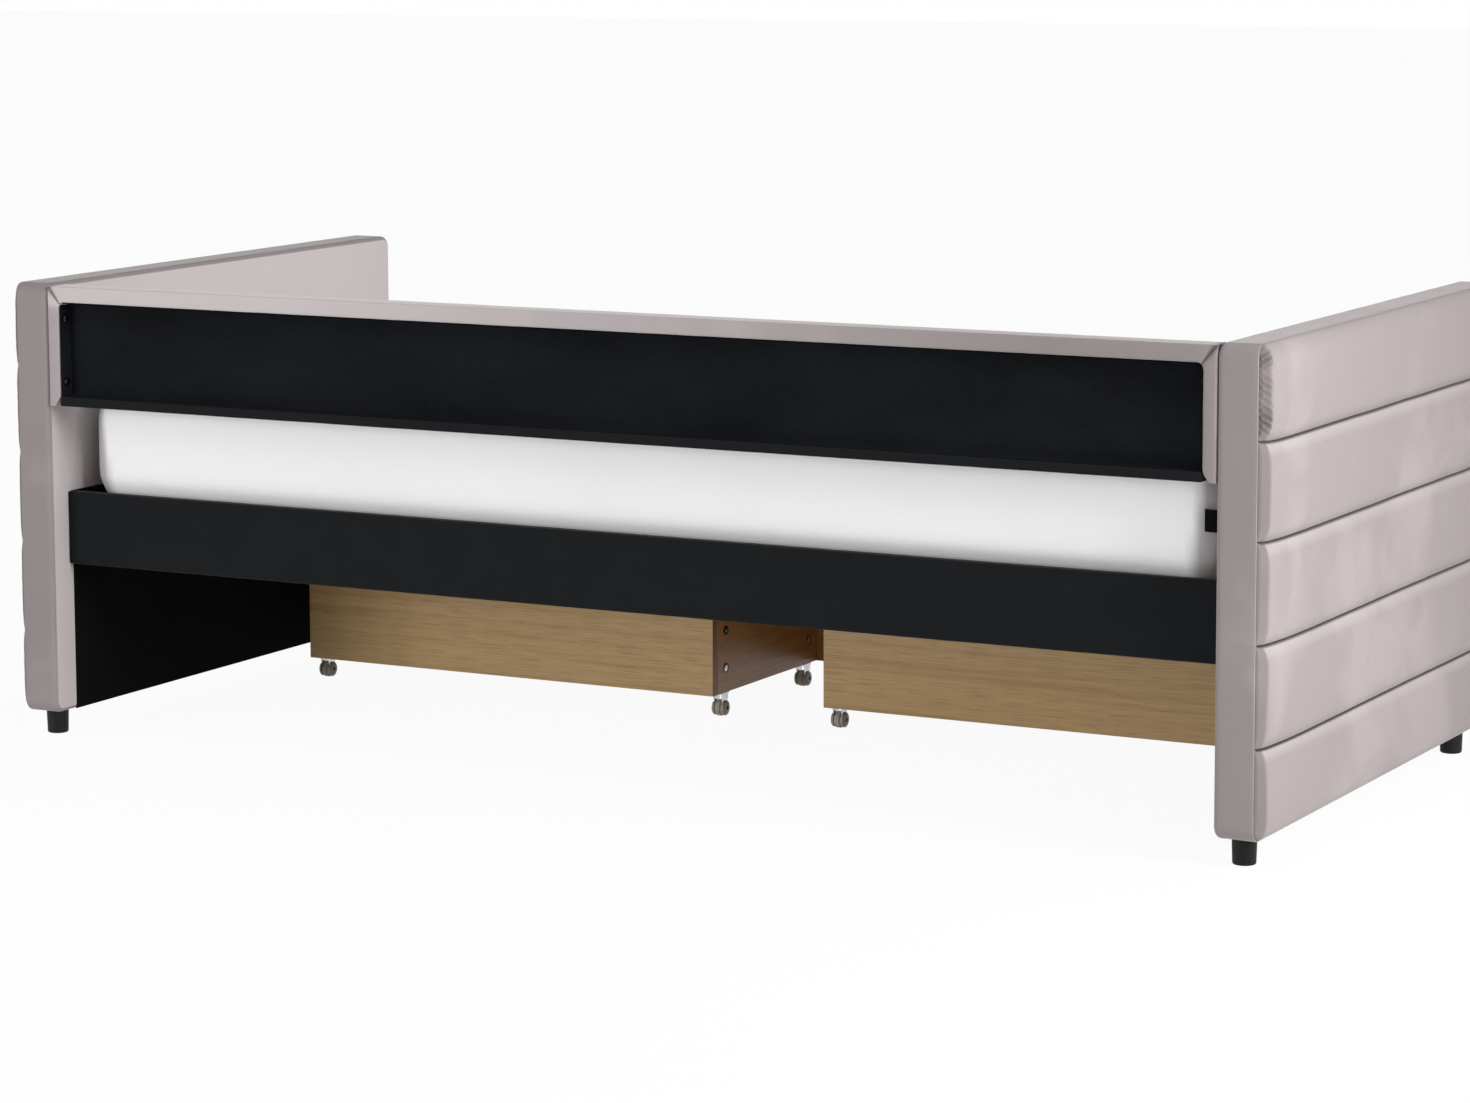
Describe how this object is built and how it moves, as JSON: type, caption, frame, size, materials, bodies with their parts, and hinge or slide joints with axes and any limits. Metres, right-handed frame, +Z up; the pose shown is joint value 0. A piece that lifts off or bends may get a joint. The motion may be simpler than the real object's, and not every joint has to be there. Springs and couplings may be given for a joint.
{
  "type": "storage daybed",
  "caption": "Upholstered daybed with channelled end panels, a low backrest, a slatted base with its mattress, and two drawers on casters that roll out to the front.",
  "frame": {"origin": "on the floor under the middle of the bed", "axes": "+X to the right as seen from the front, +Y to the back, +Z up; the drawers roll out along -Y"},
  "size_m": [2.1806, 1.035, 0.75],
  "materials": {
    "velvet": "short-pile velvet in a pinkish taupe, with a soft sheen",
    "mattress_cover": "smooth white knitted mattress cover",
    "tag_cloth": "plain black woven tag, blank",
    "black_cloth": "matt black cloth wrapped round the rail",
    "black_lining": "black non-woven lining",
    "oak_foil": "board with a light oak foil, satin",
    "brown_foil": "board with a brown foil, satin",
    "hardboard": "thin pressed board",
    "pine": "planed pine, unfinished",
    "black_plastic": "black moulded plastic, fine matt",
    "black_steel": "black powder coat",
    "zinc_steel": "bright zinc plate",
    "grey_rubber": "grey moulded plastic with a soft tread"
  },
  "bodies": {
    "bed": {"left_end_panel": "velvet", "right_end_panel": "velvet", "left_end_cover": "velvet", "right_end_cover": "velvet", "left_end_lining": "black_lining", "right_end_lining": "black_lining", "left_rear_foot": "black_plastic", "left_front_foot": "black_plastic", "right_rear_foot": "black_plastic", "right_front_foot": "black_plastic", "rear_rail": "black_cloth", "front_rail": "velvet", "rear_ledger": "pine", "front_ledger": "pine", "left_rear_bracket": "black_steel", "left_front_bracket": "black_steel", "right_rear_bracket": "black_steel", "right_front_bracket": "black_steel", "slat_base": "pine", "backrest_top_board": "velvet", "backrest_bottom_board": "black_cloth", "backrest_left_board": "velvet", "backrest_right_board": "velvet", "backrest_panel": "hardboard", "backrest_lining": "black_lining", "backrest_pad": "velvet", "backrest_bolt_left_upper": "zinc_steel", "backrest_bolt_left_lower": "zinc_steel", "backrest_bolt_right_upper": "zinc_steel", "backrest_bolt_right_lower": "zinc_steel"},
    "mattress": {"mattress": "mattress_cover", "mattress_tag": "tag_cloth"},
    "left_drawer": {"left_drawer_cover": "velvet", "left_drawer_front_board": "brown_foil", "left_drawer_back_board": "oak_foil", "left_drawer_left_board": "brown_foil", "left_drawer_right_board": "brown_foil", "left_drawer_base": "hardboard", "left_drawer_fork_rear_left": "zinc_steel", "left_drawer_fork_rear_right": "zinc_steel", "left_drawer_fork_front_left": "zinc_steel", "left_drawer_fork_front_right": "zinc_steel"},
    "right_drawer": {"right_drawer_cover": "velvet", "right_drawer_front_board": "brown_foil", "right_drawer_back_board": "oak_foil", "right_drawer_left_board": "brown_foil", "right_drawer_right_board": "brown_foil", "right_drawer_base": "hardboard", "right_drawer_fork_rear_left": "zinc_steel", "right_drawer_fork_rear_right": "zinc_steel", "right_drawer_fork_front_left": "zinc_steel", "right_drawer_fork_front_right": "zinc_steel"},
    "left_drawer_rear_left_wheel": {"left_drawer_wheel_rear_left": "grey_rubber"},
    "left_drawer_rear_right_wheel": {"left_drawer_wheel_rear_right": "grey_rubber"},
    "left_drawer_front_left_wheel": {"left_drawer_wheel_front_left": "grey_rubber"},
    "left_drawer_front_right_wheel": {"left_drawer_wheel_front_right": "grey_rubber"},
    "right_drawer_rear_left_wheel": {"right_drawer_wheel_rear_left": "grey_rubber"},
    "right_drawer_rear_right_wheel": {"right_drawer_wheel_rear_right": "grey_rubber"},
    "right_drawer_front_left_wheel": {"right_drawer_wheel_front_left": "grey_rubber"},
    "right_drawer_front_right_wheel": {"right_drawer_wheel_front_right": "grey_rubber"}
  },
  "joints": [
    {"name": "mattress_lift", "type": "slide", "parent": "bed", "child": "mattress", "axis": [0, 0, 1], "range_m": [0, 0.4]},
    {"name": "left_drawer_roll", "type": "slide", "parent": "bed", "child": "left_drawer", "axis": [0, -1, 0], "range_m": [0, 0.34]},
    {"name": "right_drawer_roll", "type": "slide", "parent": "bed", "child": "right_drawer", "axis": [0, -1, 0], "range_m": [0, 0.34]},
    {"name": "left_drawer_rear_left_turn", "type": "hinge", "parent": "left_drawer", "child": "left_drawer_rear_left_wheel", "pos_m": [-0.874, -0.1547, 0.014], "axis": [1, 0, 0], "continuous": true},
    {"name": "left_drawer_rear_right_turn", "type": "hinge", "parent": "left_drawer", "child": "left_drawer_rear_right_wheel", "pos_m": [-0.087, -0.1547, 0.014], "axis": [1, 0, 0], "continuous": true},
    {"name": "left_drawer_front_left_turn", "type": "hinge", "parent": "left_drawer", "child": "left_drawer_front_left_wheel", "pos_m": [-0.874, -0.4577, 0.014], "axis": [1, 0, 0], "continuous": true},
    {"name": "left_drawer_front_right_turn", "type": "hinge", "parent": "left_drawer", "child": "left_drawer_front_right_wheel", "pos_m": [-0.087, -0.4577, 0.014], "axis": [1, 0, 0], "continuous": true},
    {"name": "right_drawer_rear_left_turn", "type": "hinge", "parent": "right_drawer", "child": "right_drawer_rear_left_wheel", "pos_m": [0.137, -0.1547, 0.014], "axis": [1, 0, 0], "continuous": true},
    {"name": "right_drawer_rear_right_turn", "type": "hinge", "parent": "right_drawer", "child": "right_drawer_rear_right_wheel", "pos_m": [0.924, -0.1547, 0.014], "axis": [1, 0, 0], "continuous": true},
    {"name": "right_drawer_front_left_turn", "type": "hinge", "parent": "right_drawer", "child": "right_drawer_front_left_wheel", "pos_m": [0.137, -0.4577, 0.014], "axis": [1, 0, 0], "continuous": true},
    {"name": "right_drawer_front_right_turn", "type": "hinge", "parent": "right_drawer", "child": "right_drawer_front_right_wheel", "pos_m": [0.924, -0.4577, 0.014], "axis": [1, 0, 0], "continuous": true}
  ],
  "couplings": [
    {"joint": "left_drawer_rear_left_turn", "follows": "left_drawer_roll", "rad_per_m": 71.429},
    {"joint": "left_drawer_rear_right_turn", "follows": "left_drawer_roll", "rad_per_m": 71.429},
    {"joint": "left_drawer_front_left_turn", "follows": "left_drawer_roll", "rad_per_m": 71.429},
    {"joint": "left_drawer_front_right_turn", "follows": "left_drawer_roll", "rad_per_m": 71.429},
    {"joint": "right_drawer_rear_left_turn", "follows": "right_drawer_roll", "rad_per_m": 71.429},
    {"joint": "right_drawer_rear_right_turn", "follows": "right_drawer_roll", "rad_per_m": 71.429},
    {"joint": "right_drawer_front_left_turn", "follows": "right_drawer_roll", "rad_per_m": 71.429},
    {"joint": "right_drawer_front_right_turn", "follows": "right_drawer_roll", "rad_per_m": 71.429}
  ]
}
